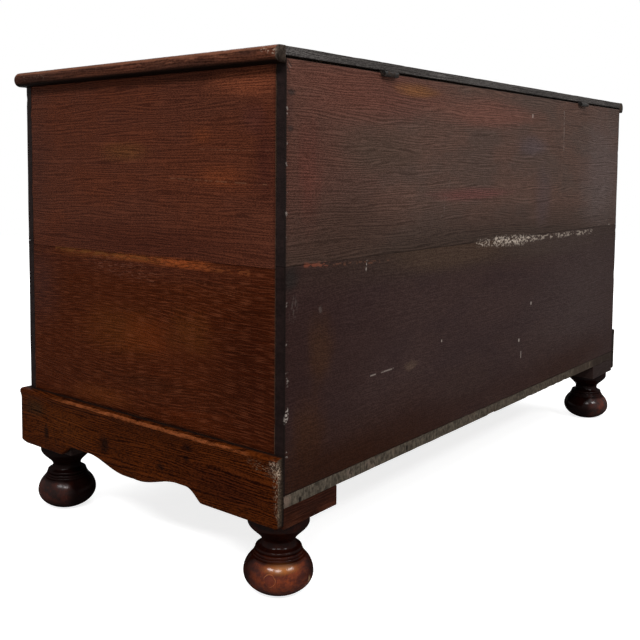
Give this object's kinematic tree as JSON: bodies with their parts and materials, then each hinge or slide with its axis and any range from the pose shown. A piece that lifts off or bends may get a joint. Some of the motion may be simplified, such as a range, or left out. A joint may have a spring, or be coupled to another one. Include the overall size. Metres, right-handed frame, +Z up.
{
  "type": "coffer",
  "caption": "Board-built wooden coffer with a hinged lid, a shaped and moulded plinth on the front and ends, and turned bun feet.",
  "frame": {"origin": "on the floor, under the middle of the whole object", "axes": "+Z up; -Y towards the front, +Y towards the hinged back; +X along the width, to the right seen from the front"},
  "size_m": [1.244, 0.586, 0.7299],
  "materials": {
    "back_wood": "dull, dry stained boards",
    "end_wood": "waxed, satin",
    "front_wood": "waxed, satin",
    "plinth_wood": "waxed, worn edges",
    "lid_wood": "waxed, satin",
    "moulding_wood": "waxed, worn nose",
    "bottom_wood": "rough, bare end grain",
    "block_wood": "sawn, dark stained",
    "foot_wood": "turned and polished, glossy",
    "batten_wood": "planed, unfinished",
    "hinge_iron": "dark wrought iron"
  },
  "bodies": {
    "carcass": {"front_board_lower": "front_wood", "front_board_upper": "front_wood", "back_board_lower": "back_wood", "back_board_upper": "back_wood", "right_end_board_lower": "end_wood", "right_end_board_upper": "end_wood", "left_end_board_lower": "end_wood", "left_end_board_upper": "end_wood", "bottom_board_1": "bottom_wood", "bottom_board_2": "bottom_wood", "bottom_board_3": "bottom_wood", "bottom_board_4": "bottom_wood", "bottom_board_5": "bottom_wood", "bottom_board_6": "bottom_wood", "plinth_front": "plinth_wood", "plinth_right": "plinth_wood", "plinth_left": "plinth_wood", "foot_block_front_left": "block_wood", "foot_block_front_right": "block_wood", "foot_block_back_left": "block_wood", "foot_block_back_right": "block_wood", "bun_foot_front_left": "foot_wood", "bun_foot_front_right": "foot_wood", "bun_foot_back_left": "foot_wood", "bun_foot_back_right": "foot_wood", "hinge_leaf_fixed_left": "hinge_iron", "hinge_leaf_fixed_right": "hinge_iron", "hinge_pin_left": "hinge_iron", "hinge_pin_right": "hinge_iron"},
    "lid": {"lid_board_rear": "lid_wood", "lid_board_front": "lid_wood", "lid_moulding_front": "moulding_wood", "lid_moulding_right": "moulding_wood", "lid_moulding_left": "moulding_wood", "lid_batten_left": "batten_wood", "lid_batten_middle": "batten_wood", "lid_batten_right": "batten_wood", "hinge_leaf_lid_left": "hinge_iron", "hinge_leaf_lid_right": "hinge_iron"}
  },
  "joints": [
    {"name": "lid_hinge", "type": "hinge", "parent": "carcass", "child": "lid", "pos_m": [0, 0.2888, 0.7129], "axis": [-1, 0, 0], "range_deg": [0, 100]}
  ]
}
